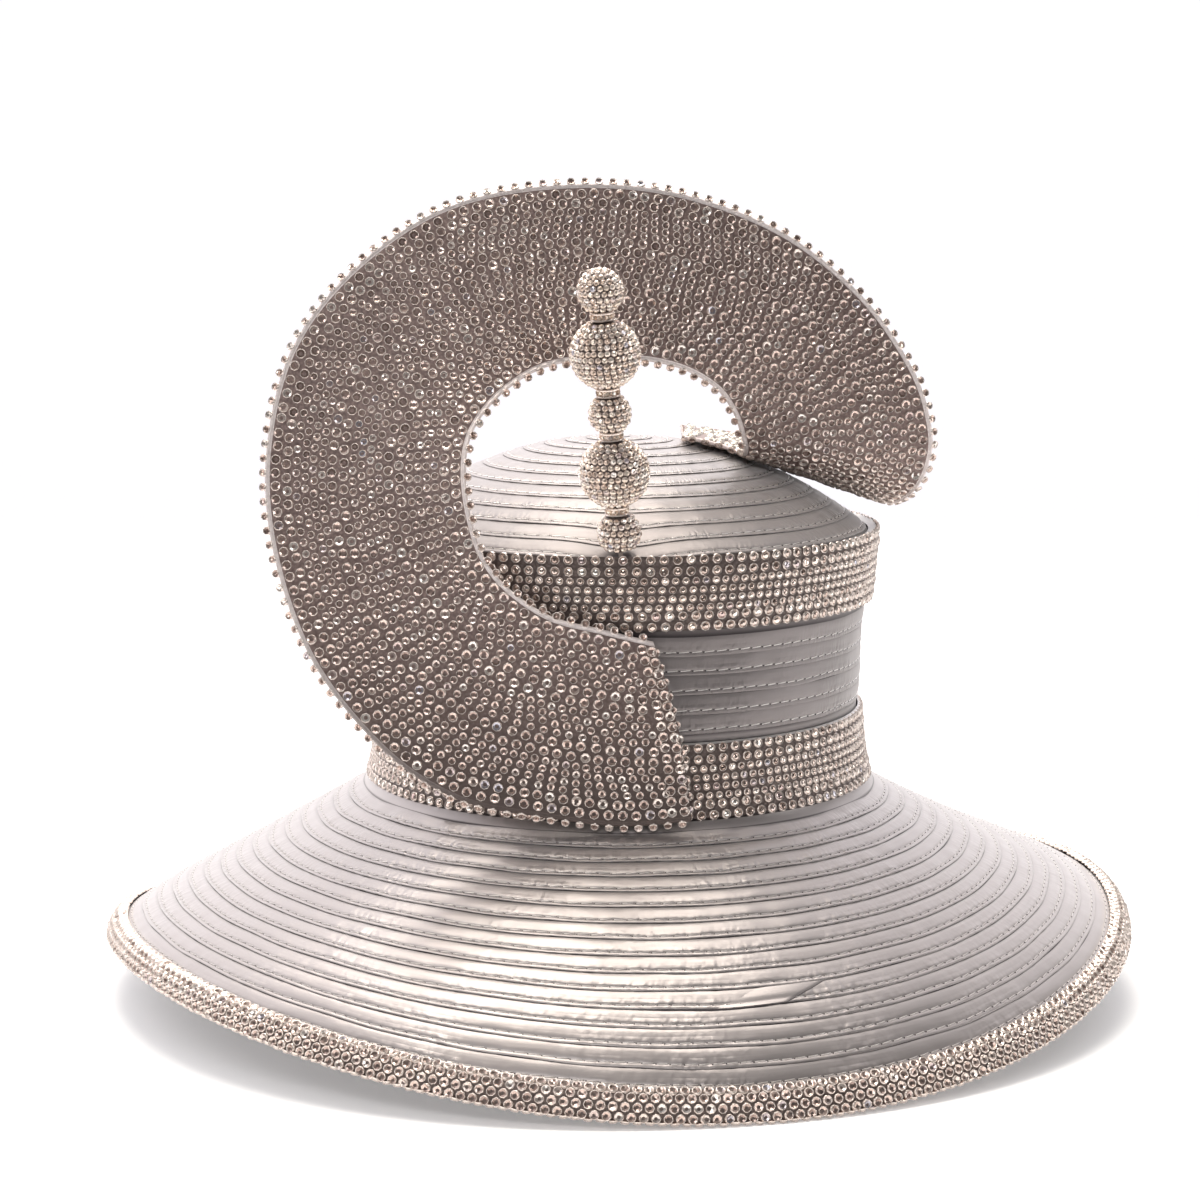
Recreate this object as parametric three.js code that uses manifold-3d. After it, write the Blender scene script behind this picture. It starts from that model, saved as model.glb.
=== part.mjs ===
// A dress hat: a domed crown and a wide drooping brim sewn from rows of satin ribbon,
// two bands and an edge trim of set stones, a large C-shaped ribbon ornament and a hat pin.
// Millimetres, +Z up, front of the hat toward -Y, standing on its brim at Z = 0.
import * as THREE from 'three';
import Module from 'manifold-3d';
import { mergeVertices } from 'three/addons/utils/BufferGeometryUtils.js';

// ---------------------------------------------------------------- driving dimensions
const HEAD_OVAL = 1.06;          // the head opening is longer than it is wide
const CROWN_SIDES = 32;          // facets round the crown and its bands
const BRIM_SIDES = 40;           // facets round the brim and its trim
const SATIN_WALL = 2;            // sewn satin over its own lap
const ROW_LAP = 0.8;             // how far each row stands over the next one
const GAP = 0.3;                 // clearance between neighbouring pieces
const BAND_GAP = 0.5;            // from a band to the crown's wall

const DOME_ROWS = 12;            // ribbon rows from the tip to the top band
const WALL_ROWS = 6;             // ribbon rows between the two bands
const BRIM_ROWS = 15;            // ribbon rows from the crown to the trim

const BRIM_INNER = 91;           // brim radius at the crown
const RIM_RADIUS = 189;          // brim radius at its edge
const TIP_FLAT = 12;             // radius of the flat disc inside the tip

const SWIRL_THICKNESS = 3;       // ribbon with stones on both faces
const SWIRL_STEPS = 60;          // lengthwise facets of the swirl

const PIN_WIRE_RADIUS = 0.8;
const PIN_BORE_RADIUS = 1.2;     // of the beads, and of the hole in the crown
const WIRE_SIDES = 8;            // facets round the wire
const BEAD_SIDES = 10;           // facets round a ball or a rondelle
const BALL_STEPS = 6;            // facets of a ball from pole to pole
const PIN_FLAT = 4.6;            // radius of the flat at each pole of a ball
const RONDELLE = { radius: 4.2, thickness: 3, rimRadius: 3.9, rimDrop: 0.6 };
const PIN_FOOT = { x: 0.6, y: -94.4, z: 149 };       // where the wire enters the crown
const PIN_TOP = { x: -7, y: -108.5, z: 246.2 };      // centre of the uppermost ball
const PIN_STEM = 14;             // hidden length of the wire inside the crown
const PIN_HOLE = 15;             // depth of the hole in the crown, from the foot
const FIRST_BALL_HEIGHT = 14.7;  // from the foot to the centre of the lowest ball

// Ball radii of the pin, counted from the top.
const PIN_BALLS = [7.9, 12, 7.3, 12, 7.6];

// The brim hangs as a soft saddle: waves round the edge, each with its height and high side.
const BRIM_WAVES = [
  { count: 1, height: 3.0, highSide: 23.6 },
  { count: 2, height: 13.2, highSide: 18.3 },
];

// The pin presses a shallow dent into the front of the crown.
const PIN_DENT = { depth: 1.6, radius: 15, above: 145 };

// All heights below are measured from the mean plane of the brim's edge.
// Outline of the crown from the tip to the foot: radius across the head, height.
const CROWN_OUTLINE = [
  { radius: 0, height: 187.5 },
  { radius: 30, height: 184.2 },
  { radius: 60, height: 173.5 },
  { radius: 80, height: 162.2 },
  { radius: 90, height: 155 },
  { radius: 91.9, height: 150.5 },
  { radius: 91.4, height: 143 },
  { radius: 90.2, height: 129.5 },
  { radius: 88.9, height: 118 },
  { radius: 88.4, height: 102 },
  { radius: 87.5, height: 89 },
  { radius: 88.3, height: 79 },
  { radius: 90.2, height: 66.5 },
  { radius: 90.3, height: 62.6 },
];
const BUTTON_END = 4;            // length along the outline where the first row starts
const DOME_END = 97.5;           // ... where the top band starts
const WALL_START = 124.5;        // ... where the top band ends
const WALL_END = 162.6;          // ... where the base band starts

// Outline of the brim from the crown to the edge, before the saddle: radius, height.
const BRIM_OUTLINE = [
  { radius: 92.7, height: 63.8 },
  { radius: 94.2, height: 60.8 },
  { radius: 97, height: 58.3 },
  { radius: 120, height: 44.8 },
  { radius: 143, height: 31.2 },
  { radius: 160, height: 20.9 },
  { radius: 170, height: 14.2 },
  { radius: 178, height: 8 },
  { radius: 184.6, height: 2.4 },
];
const BRIM_TURN_UP = 3.5;        // plain strip at the crown, hidden by the base band
const BRIM_HEM = 5;              // plain strip at the edge, hidden in the trim

// Facets along the plain stretches of the two sections.
const CROWN_STEPS = { underTopBand: 4, underBaseBand: 3, inside: 12 };
const BRIM_UNDER_STEPS = 8;

// Outer faces of the two bands, top to bottom: radius, height. Their backs follow the crown
// between two lengths along its outline.
const TOP_BAND = {
  face: [[95.9, 156.1], [95.6, 148], [94.7, 138], [93.7, 129.6]], from: 98.5, to: 123.5,
};
const BASE_BAND = {
  face: [[90.4, 90.2], [91.2, 80], [92.6, 70], [93.9, 64.4]], from: 163.1, to: 188.5,
};
const BAND_BACK_STEPS = 4;

// Section of the trim round the brim's edge: radius, height, in order round the section.
const TRIM = [
  [182.1, 6], [182.2, 7.9], [185.4, 6.6], [188, 3.2], [189.3, -1], [187.6, -2.6],
  [183.8, -1.6], [182, -0.8], [182, 0.9], [185.2, -0.6], [185.2, 3.6],
];

// The swirl, section by section from its end on the crown front, over the top, to its tail on
// the dome: the two edges of the ribbon, inner edge then outer edge.
const SWIRL_SECTIONS = [
  { inner: [10.5, -101, 128], outer: [24, -100.5, 64] },
  { inner: [-7, -102, 132.5], outer: [0, -101.5, 62.5] },
  { inner: [-24, -101.5, 137], outer: [-26, -101, 65.5] },
  { inner: [-38, -100, 146.5], outer: [-55.5, -100, 71.5] },
  { inner: [-46, -97.5, 157], outer: [-81, -97.5, 88] },
  { inner: [-50, -93, 170], outer: [-105.5, -93, 118] },
  { inner: [-51.5, -87.5, 183], outer: [-119, -86.5, 154] },
  { inner: [-50, -82, 194], outer: [-122, -79, 188] },
  { inner: [-44.5, -76, 203], outer: [-114, -70, 223] },
  { inner: [-36, -70, 210.5], outer: [-93, -61, 251] },
  { inner: [-25, -64, 216], outer: [-62, -52, 272] },
  { inner: [-10.5, -57, 218], outer: [-24.5, -43, 280] },
  { inner: [5.5, -50, 217.5], outer: [17, -35, 278] },
  { inner: [21, -42.5, 214], outer: [56.5, -28, 264] },
  { inner: [33, -36, 207], outer: [86.5, -22, 241] },
  { inner: [39.5, -30.5, 198], outer: [106.5, -17, 213.5] },
  { inner: [42.5, -27, 189.5], outer: [114, -13, 191.5] },
  { inner: [43.5, -24.5, 185.5], outer: [113.5, -9, 177.5] },
  { inner: [43, -20.5, 183.3], outer: [108.5, -1, 166.5] },
  { inner: [40.5, -17.5, 184], outer: [100.5, 14, 161.5] },
  { inner: [36, -16.5, 185.6], outer: [87, 31, 168.5] },
  { inner: [29.5, -17.5, 187.2], outer: [60, 45, 180] },
  { inner: [23.5, -19, 188.4], outer: [24.5, 47, 187.2] },
];

// ---------------------------------------------------------------- shared shapes
const curveOf = (outline) => new THREE.SplineCurve(
  outline.map((row) => new THREE.Vector2(row.radius, row.height)));

// The point at a length along an outline, moved outward by an offset.
function along(curve, length, offset = 0) {
  const u = THREE.MathUtils.clamp(length / curve.getLength(), 0, 1);
  const point = curve.getPointAt(u);
  const tangent = curve.getTangentAt(u);
  return new THREE.Vector2(point.x - tangent.y * offset, point.y + tangent.x * offset);
}

// A plain stretch of an outline, without its first point.
function plain(curve, from, to, steps) {
  const points = [];
  for (let step = 1; step <= steps; step += 1) {
    points.push(along(curve, THREE.MathUtils.lerp(from, to, step / steps)));
  }
  return points;
}

// Lapped rows: each row lifts toward its lower edge, then steps back to the row under it.
function lappedRows(curve, start, end, rows) {
  const points = [];
  const pitch = (end - start) / rows;
  for (let row = 0; row < rows; row += 1) {
    points.push(along(curve, start + row * pitch));
    points.push(along(curve, start + (row + 1) * pitch, ROW_LAP));
  }
  points.push(along(curve, end));
  return points;
}

// The far side of a sewn wall, plain, from the end of an outline back to a length along it.
function plainBack(curve, from, to, steps) {
  const points = [];
  for (let step = 0; step <= steps; step += 1) {
    points.push(along(curve, THREE.MathUtils.lerp(from, to, step / steps), -SATIN_WALL));
  }
  return points;
}

// Revolves a section about Z, then lets a function set each corner's place.
function ring(section, sides, place) {
  const geometry = new THREE.LatheGeometry(section.slice().reverse(), sides);
  geometry.rotateX(Math.PI / 2);
  const corners = geometry.attributes.position;
  const corner = new THREE.Vector3();
  for (let index = 0; index < corners.count; index += 1) {
    corner.fromBufferAttribute(corners, index);
    place(corner);
    corners.setXYZ(index, corner.x, corner.y, corner.z);
  }
  return geometry;
}

const pointsOf = (pairs) => pairs.map(([radius, height]) => new THREE.Vector2(radius, height));

function closed(points) {
  return [...points, points[0].clone()];
}

// Places of round pieces: beads stay round on their axis, the crown and bands follow the head,
// the brim grows round and hangs.
function onAxis() {}

function onHead(corner) {
  corner.y *= HEAD_OVAL;
}

function onBrim(corner) {
  const reach = (Math.hypot(corner.x, corner.y) - BRIM_INNER) / (RIM_RADIUS - BRIM_INNER);
  const angle = Math.atan2(corner.y, corner.x);
  for (const wave of BRIM_WAVES) {
    const turn = wave.count * (angle - THREE.MathUtils.degToRad(wave.highSide));
    corner.z += wave.height * Math.cos(turn) * reach * reach;
  }
  corner.y *= THREE.MathUtils.lerp(HEAD_OVAL, 1, reach);
}

function onDentedHead(corner) {
  onHead(corner);
  if (corner.z < PIN_DENT.above) return;
  const distance = Math.hypot(corner.x - PIN_FOOT.x, corner.y - PIN_FOOT.y) / PIN_DENT.radius;
  corner.z -= PIN_DENT.depth * Math.exp(-distance * distance);
}

// A closed slab between two grids of points of the same size.
function slab(front, back) {
  const rows = front.length;
  const columns = front[0].length;
  const positions = [];
  for (const grid of [front, back]) {
    for (const row of grid) {
      for (const point of row) positions.push(point.x, point.y, point.z);
    }
  }
  const at = (side, row, column) => (side * rows + row) * columns + column;
  const indices = [];
  const quad = (a, b, c, d) => indices.push(a, b, c, a, c, d);
  for (let row = 0; row < rows - 1; row += 1) {
    const next = row + 1;
    for (let column = 0; column < columns - 1; column += 1) {
      const right = column + 1;
      quad(at(0, row, column), at(0, next, column), at(0, next, right), at(0, row, right));
      quad(at(1, row, column), at(1, row, right), at(1, next, right), at(1, next, column));
    }
    const last = columns - 1;
    quad(at(0, row, 0), at(1, row, 0), at(1, next, 0), at(0, next, 0));
    quad(at(0, row, last), at(0, next, last), at(1, next, last), at(1, row, last));
  }
  const last = rows - 1;
  for (let column = 0; column < columns - 1; column += 1) {
    const right = column + 1;
    quad(at(0, 0, column), at(0, 0, right), at(1, 0, right), at(1, 0, column));
    quad(at(0, last, column), at(1, last, column), at(1, last, right), at(0, last, right));
  }
  const geometry = new THREE.BufferGeometry();
  geometry.setAttribute('position', new THREE.Float32BufferAttribute(positions, 3));
  geometry.setIndex(indices);
  return geometry;
}

// ---------------------------------------------------------------- cutting one solid by another
const wasm = await Module();
wasm.setup();

function solidOf(geometry) {
  const bare = geometry.clone();
  bare.deleteAttribute('normal');
  bare.deleteAttribute('uv');
  const merged = mergeVertices(bare, 1e-3);
  const triangles = [];
  const index = merged.index.array;
  for (let face = 0; face < index.length; face += 3) {
    const [a, b, c] = [index[face], index[face + 1], index[face + 2]];
    if (a !== b && b !== c && c !== a) triangles.push(a, b, c);
  }
  return new wasm.Manifold(new wasm.Mesh({
    numProp: 3,
    vertProperties: new Float32Array(merged.attributes.position.array),
    triVerts: new Uint32Array(triangles),
  }));
}

function subtract(geometry, tool) {
  const mesh = solidOf(geometry).subtract(solidOf(tool)).getMesh();
  const result = new THREE.BufferGeometry();
  result.setAttribute('position', new THREE.BufferAttribute(new Float32Array(mesh.vertProperties), 3));
  result.setIndex(new THREE.BufferAttribute(new Uint32Array(mesh.triVerts), 1));
  return result;
}

// ---------------------------------------------------------------- the pin's line
const pinFoot = new THREE.Vector3(PIN_FOOT.x, PIN_FOOT.y, PIN_FOOT.z);
const pinTop = new THREE.Vector3(PIN_TOP.x, PIN_TOP.y, PIN_TOP.z);
const pinAxis = pinTop.clone().sub(pinFoot).normalize();
const pinTurn = new THREE.Quaternion().setFromUnitVectors(new THREE.Vector3(0, 0, 1), pinAxis);
const onPin = (distance) => pinFoot.clone().addScaledVector(pinAxis, distance);

// A straight round bar along the pin's line between two distances from its foot.
function pinBar(radius, from, to) {
  const bar = new THREE.CylinderGeometry(radius, radius, to - from, WIRE_SIDES);
  bar.rotateX(Math.PI / 2);
  bar.applyQuaternion(pinTurn);
  const middle = onPin((from + to) / 2);
  bar.translate(middle.x, middle.y, middle.z);
  return bar;
}

// ---------------------------------------------------------------- sub-parts
function crown() {
  const outline = curveOf(CROWN_OUTLINE);
  const foot = outline.getLength();
  const section = [
    new THREE.Vector2(0, CROWN_OUTLINE[0].height),
    ...lappedRows(outline, BUTTON_END, DOME_END, DOME_ROWS),
    ...plain(outline, DOME_END, TOP_BAND.to, CROWN_STEPS.underTopBand),
    ...lappedRows(outline, WALL_START, WALL_END, WALL_ROWS),
    ...plain(outline, WALL_END, foot, CROWN_STEPS.underBaseBand),
    ...plainBack(outline, foot, TIP_FLAT, CROWN_STEPS.inside),
  ];
  const tipInside = section[section.length - 1].y;
  section.push(new THREE.Vector2(0, tipInside));
  const shell = ring(section, CROWN_SIDES, onDentedHead);
  return subtract(shell, pinBar(PIN_BORE_RADIUS, -PIN_HOLE, FIRST_BALL_HEIGHT));
}

// A band of stones: its outer face, then its back along the crown's wall with a small gap.
function band({ face, from, to }) {
  const outline = curveOf(CROWN_OUTLINE);
  const back = [];
  for (let step = 0; step <= BAND_BACK_STEPS; step += 1) {
    const length = THREE.MathUtils.lerp(to, from, step / BAND_BACK_STEPS);
    back.push(along(outline, length, BAND_GAP));
  }
  return ring(closed([...pointsOf(face), ...back]), CROWN_SIDES, onHead);
}

function brim() {
  const outline = curveOf(BRIM_OUTLINE);
  const edge = outline.getLength();
  const section = [
    along(outline, 0),
    ...lappedRows(outline, BRIM_TURN_UP, edge - BRIM_HEM, BRIM_ROWS),
    along(outline, edge),
    ...plainBack(outline, edge, 0, BRIM_UNDER_STEPS),
    along(outline, 0),
  ];
  return ring(section, BRIM_SIDES, onBrim);
}

// The ribbon of the swirl: both edges run smoothly through the sections.
function swirl() {
  const innerEdge = new THREE.CatmullRomCurve3(
    SWIRL_SECTIONS.map((row) => new THREE.Vector3(...row.inner)), false, 'catmullrom', 0.5);
  const outerEdge = new THREE.CatmullRomCurve3(
    SWIRL_SECTIONS.map((row) => new THREE.Vector3(...row.outer)), false, 'catmullrom', 0.5);
  const across = [0, 0.5, 1];
  const front = [];
  const back = [];
  for (let step = 0; step <= SWIRL_STEPS; step += 1) {
    const u = step / SWIRL_STEPS;
    const inner = innerEdge.getPoint(u);
    const outer = outerEdge.getPoint(u);
    const width = outer.clone().sub(inner);
    const frontRow = [];
    const backRow = [];
    for (const share of across) {
      const run = innerEdge.getTangent(u).lerp(outerEdge.getTangent(u), share);
      const face = run.cross(width).normalize().multiplyScalar(SWIRL_THICKNESS / 2);
      const middle = inner.clone().lerp(outer, share);
      frontRow.push(middle.clone().add(face));
      backRow.push(middle.clone().sub(face));
    }
    front.push(frontRow);
    back.push(backRow);
  }
  return slab(front, back);
}

// The section of a drilled bead: from the bore out to the skin and back.
function beadSection(skin) {
  const [top, bottom] = [skin[0].y, skin[skin.length - 1].y];
  return [
    new THREE.Vector2(PIN_BORE_RADIUS, top),
    ...skin,
    new THREE.Vector2(PIN_BORE_RADIUS, bottom),
    new THREE.Vector2(PIN_BORE_RADIUS, top),
  ];
}

function pinBall(radius) {
  const pole = Math.asin(PIN_FLAT / radius);
  const skin = [];
  for (let step = 0; step <= BALL_STEPS; step += 1) {
    const angle = THREE.MathUtils.lerp(pole, Math.PI - pole, step / BALL_STEPS);
    skin.push(new THREE.Vector2(radius * Math.sin(angle), radius * Math.cos(angle)));
  }
  return ring(beadSection(skin), BEAD_SIDES, onAxis);
}

function pinRondelle() {
  const face = RONDELLE.thickness / 2;
  const side = face - RONDELLE.rimDrop;
  const skin = pointsOf([
    [RONDELLE.rimRadius, face], [RONDELLE.radius, side],
    [RONDELLE.radius, -side], [RONDELLE.rimRadius, -face],
  ]);
  return ring(beadSection(skin), BEAD_SIDES, onAxis);
}

// ---------------------------------------------------------------- finishes
const satin = () => new THREE.MeshStandardMaterial({ color: 0xc9c1bf, roughness: 0.45, metalness: 0 });
const stones = () => new THREE.MeshStandardMaterial({ color: 0xa89c94, roughness: 0.3, metalness: 0.7 });
const metal = () => new THREE.MeshStandardMaterial({ color: 0xb9b3a4, roughness: 0.25, metalness: 1 });

// ---------------------------------------------------------------- the hat
const hat = new THREE.Group();

function addPart(name, geometry, material) {
  const mesh = new THREE.Mesh(geometry, material);
  mesh.name = name;
  hat.add(mesh);
  return mesh;
}

addPart('crown', crown(), satin());
addPart('brim', brim(), satin());
addPart('top_band', band(TOP_BAND), stones());
addPart('base_band', band(BASE_BAND), stones());
addPart('brim_trim', ring(closed(pointsOf(TRIM)), BRIM_SIDES, onBrim), stones());
addPart('swirl', swirl(), stones());

function threadOnPin(name, geometry, material, distance) {
  const piece = addPart(name, geometry, material);
  piece.position.copy(onPin(distance));
  piece.quaternion.copy(pinTurn);
}

// The balls and rondelles are threaded on the wire one on another, from the lowest up.
const ballHalf = (radius) => Math.sqrt(radius * radius - PIN_FLAT * PIN_FLAT);
let reached = FIRST_BALL_HEIGHT;
for (let number = PIN_BALLS.length; number >= 1; number -= 1) {
  const radius = PIN_BALLS[number - 1];
  threadOnPin(`pin_ball_${number}`, pinBall(radius), stones(), reached);
  if (number > 1) {
    reached += ballHalf(radius) + GAP + RONDELLE.thickness / 2;
    threadOnPin(`pin_rondelle_${number - 1}`, pinRondelle(), metal(), reached);
    reached += RONDELLE.thickness / 2 + GAP + ballHalf(PIN_BALLS[number - 2]);
  }
}
addPart('pin_wire', pinBar(PIN_WIRE_RADIUS, -PIN_STEM, reached + PIN_FLAT), metal());

// The brim's two lowest points stand on Z = 0.
hat.position.z = -new THREE.Box3().setFromObject(hat).min.z;

export default hat;
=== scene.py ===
# %% [markdown]
# # A dress hat in satin and set stones
# The hat is sewn from long satin ribbon, wound round and round and stitched down row by row.
# Two bands of set stones close the crown, a third runs round the brim's edge, and a wide
# stone-covered ribbon curls up from the front and over the crown beside a beaded pin.
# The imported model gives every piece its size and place. This script dresses it.

# %% The frame
from math import atan2, cos, pi, radians, sin

import bpy
import numpy as np
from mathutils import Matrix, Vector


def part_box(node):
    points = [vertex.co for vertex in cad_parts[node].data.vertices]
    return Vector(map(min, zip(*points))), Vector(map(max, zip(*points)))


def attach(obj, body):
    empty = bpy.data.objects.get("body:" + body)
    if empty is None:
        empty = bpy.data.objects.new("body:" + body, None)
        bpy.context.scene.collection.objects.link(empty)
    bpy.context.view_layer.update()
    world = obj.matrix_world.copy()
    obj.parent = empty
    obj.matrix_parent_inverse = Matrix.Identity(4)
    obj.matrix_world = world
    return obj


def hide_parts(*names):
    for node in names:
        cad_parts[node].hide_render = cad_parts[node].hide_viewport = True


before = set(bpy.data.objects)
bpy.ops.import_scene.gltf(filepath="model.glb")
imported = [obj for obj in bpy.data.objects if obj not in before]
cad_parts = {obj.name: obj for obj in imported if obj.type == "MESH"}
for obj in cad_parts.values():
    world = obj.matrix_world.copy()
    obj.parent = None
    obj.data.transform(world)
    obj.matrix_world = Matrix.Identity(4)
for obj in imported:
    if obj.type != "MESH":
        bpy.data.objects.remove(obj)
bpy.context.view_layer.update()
print("pieces in the frame:", sorted(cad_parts))

# %% [markdown]
# ## Measures
# Hatmakers work in millimetres and Blender in metres, so every length below is in
# millimetres and is turned into metres only when a mesh is made. Heights count from the
# middle level of the brim's edge. The hat stands on the lowest points of that edge, so
# everything is lifted by one amount, which the frame's crown tells.

# %% Measures of the hat
MM = 0.001
HEAD_OVAL = 1.06
MEAN_OVAL = (1 + HEAD_OVAL) / 2
CROWN_OUTLINE = [
    (0, 187.5), (30, 184.2), (60, 173.5), (80, 162.2), (90, 155), (91.9, 150.5), (91.4, 143),
    (90.2, 129.5), (88.9, 118), (88.4, 102), (87.5, 89), (88.3, 79), (90.2, 66.5), (90.3, 62.6),
]
BRIM_OUTLINE = [
    (92.7, 63.8), (94.2, 60.8), (97, 58.3), (120, 44.8), (143, 31.2), (160, 20.9), (170, 14.2),
    (178, 8), (184.6, 2.4),
]
BRIM_INNER = 91
RIM_RADIUS = 189
BRIM_WAVES = [(1, 3.0, radians(23.6)), (2, 13.2, radians(18.3))]  # count, height, high side
SATIN_WALL = 2
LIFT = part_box("crown")[1].z / MM - CROWN_OUTLINE[0][1]
print("the hat is lifted by", round(LIFT, 2), "mm")


# %% [markdown]
# ## Smooth lines
# A hat's section is a soft line through a few measured points. A Catmull-Rom spline passes
# through all of them, so the points stay few and readable. `Outline` also measures the line
# by its own length, because ribbon rows, stitches and stones are counted out along it.

# %% Splines and outlines
def spline(points, shares, mirrored_ends=False):
    """Points of a Catmull-Rom curve at shares from 0 to 1 of its spans."""
    points = np.asarray(points, float)
    first = 2 * points[0] - points[1] if mirrored_ends else points[0]
    last = 2 * points[-1] - points[-2] if mirrored_ends else points[-1]
    padded = np.vstack([first, points, last])
    place = np.clip(np.asarray(shares, float), 0, 1) * (len(points) - 1)
    span = np.minimum(place.astype(int), len(points) - 2)
    t = (place - span)[:, None]
    before, start, end, after = (padded[span + step] for step in range(4))
    leave = (end - before) / 2
    arrive = (after - start) / 2
    bend = 2 * (start - end) + leave + arrive
    turn = 3 * (end - start) - 2 * leave - arrive
    return start + t * (leave + t * (turn + t * bend))


def run_length(line):
    """How far along a line of points each point lies."""
    return np.concatenate([[0], np.cumsum(np.linalg.norm(np.diff(line, axis=0), axis=1))])


class Outline:
    """A smooth section of radius and height, measured along its length."""

    def __init__(self, points, samples=900):
        line = spline(points, np.linspace(0, 1, samples))
        self.stations = run_length(line)
        self.length = self.stations[-1]
        run = np.gradient(line, self.stations, axis=0)
        run /= np.linalg.norm(run, axis=1)[:, None]
        self.columns = [line[:, 0], line[:, 1], -run[:, 1], run[:, 0]]

    def at(self, length, rise=0.0):
        """Radius and height at a length along the line, moved outward by a rise."""
        radius, height, out, up = (np.interp(length, self.stations, column)
                                   for column in self.columns)
        return radius + rise * out, height + rise * up


crown_line = Outline(CROWN_OUTLINE)
brim_line = Outline(BRIM_OUTLINE)
print("crown section:", round(crown_line.length, 1), "mm")
print("brim section:", round(brim_line.length, 1), "mm")


# %% [markdown]
# ## From a section to the hat
# Turning a section about the head gives a round hat, and a head is longer than it is wide.
# The brim is cut round but hangs as a saddle, high at the sides and low at front and back.
# Three small functions put any radius, height and angle in its true place. Rows, stitches
# and stones all go through them, so they always lie on the same surface.

# %% Places on the head and on the brim
PIN_FOOT = np.array([0.6, -94.4, 149.0])
PIN_DENT = {"depth": 1.6, "radius": 15, "above": 145}


def on_head(radius, height, angle):
    radius, height, angle = np.broadcast_arrays(radius, height, angle)
    return np.stack([radius * np.cos(angle), radius * np.sin(angle) * HEAD_OVAL, height], -1)


def on_crown(length, rise, angle):
    """A point of the crown, with the shallow dent that the pin presses into its front."""
    place = on_head(*crown_line.at(length, rise), angle)
    from_pin = np.hypot(place[..., 0] - PIN_FOOT[0], place[..., 1] - PIN_FOOT[1])
    apart = from_pin / PIN_DENT["radius"]
    dent = PIN_DENT["depth"] * np.exp(-apart * apart)
    place[..., 2] -= np.where(place[..., 2] > PIN_DENT["above"], dent, 0)
    return place


def hung(radius, height, angle):
    """A point of the brim or its trim, hanging in the brim's soft saddle."""
    radius, height, angle = np.broadcast_arrays(radius, height, angle)
    reach = (radius - BRIM_INNER) / (RIM_RADIUS - BRIM_INNER)
    sag = sum(deep * np.cos(count * (angle - high)) for count, deep, high in BRIM_WAVES)
    oval = HEAD_OVAL + (1 - HEAD_OVAL) * reach
    return np.stack([radius * np.cos(angle), radius * np.sin(angle) * oval,
                     height + sag * reach * reach], -1)


def on_brim(length, rise, angle):
    return hung(*brim_line.at(length, rise), angle)


def round_angles(count):
    return np.linspace(0, 2 * pi, count, endpoint=False)


print("the pin's foot is", round(PIN_FOOT[2] + LIFT, 1), "mm above the floor")


# %% [markdown]
# ## Making a mesh
# Thousands of stones as separate objects would bring Blender to a halt. All the stones of a
# band are one mesh instead, built from arrays of corners and faces in a single step. The
# helper also takes named numbers for each corner, such as how much painted shade it gets in
# a seam, and a finish for each face.

# %% Meshes from arrays
def new_piece(name, corners, faces, finishes, face_finish=None, smooth=True, values=None,
              sharp=None):
    """One mesh from corners in millimetres and a list of arrays of faces."""
    mesh = bpy.data.meshes.new(name)
    corners = np.asarray(corners, float).reshape(-1, 3) + [0, 0, LIFT]
    sizes = np.concatenate([np.full(len(group), group.shape[1]) for group in faces])
    loops = np.concatenate([group.ravel() for group in faces])
    mesh.vertices.add(len(corners))
    mesh.vertices.foreach_set("co", (corners * MM).astype(np.float32).ravel())
    mesh.loops.add(len(loops))
    mesh.loops.foreach_set("vertex_index", loops.astype(np.int32))
    mesh.polygons.add(len(sizes))
    starts = np.concatenate([[0], np.cumsum(sizes)[:-1]])
    mesh.polygons.foreach_set("loop_start", starts.astype(np.int32))
    for finish in finishes:
        mesh.materials.append(finish)
    if face_finish is not None:
        mesh.polygons.foreach_set("material_index", np.asarray(face_finish, np.int32))
    smooth = np.broadcast_to(smooth, len(sizes))
    mesh.polygons.foreach_set("use_smooth", smooth.astype(bool))
    mesh.update(calc_edges=True)
    for value_name, numbers in (values or {}).items():
        attribute = mesh.attributes.new(value_name, "FLOAT", "POINT")
        attribute.data.foreach_set("value", np.asarray(numbers, np.float32).ravel())
    if sharp is not None:
        mesh.set_sharp_from_angle(angle=radians(sharp))
    piece = bpy.data.objects.new(name, mesh)
    bpy.context.scene.collection.objects.link(piece)
    triangles = int((sizes - 2).sum())
    print(f"{name}: {len(corners)} corners, {triangles} triangles")
    return piece


def grid_faces(rows, columns, round_rows=False, round_columns=True):
    """Four-sided faces between the corners of a grid, closed round where it is round."""
    row = np.arange(rows if round_rows else rows - 1)[:, None]
    column = np.arange(columns if round_columns else columns - 1)[None, :]
    next_row = (row + 1) % rows
    next_column = (column + 1) % columns
    around = [row * columns + column, next_row * columns + column,
              next_row * columns + next_column, row * columns + next_column]
    return np.stack(np.broadcast_arrays(*around), -1).reshape(-1, 4)


def belongs(piece, slot, *stands_for):
    """Hands a finished piece to the frame."""
    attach(piece, "root")
    if stands_for:
        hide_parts(*stands_for)


# %% [markdown]
# ## Shader maths that reads like maths
# A Blender material is a graph of nodes. Wiring one Math node after another hides what is
# meant, so `Wire` wraps a socket and lets plain Python arithmetic add the nodes. Everything
# that isn't arithmetic goes through one method, `Graph.node`, in the sky as in a material.

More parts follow.
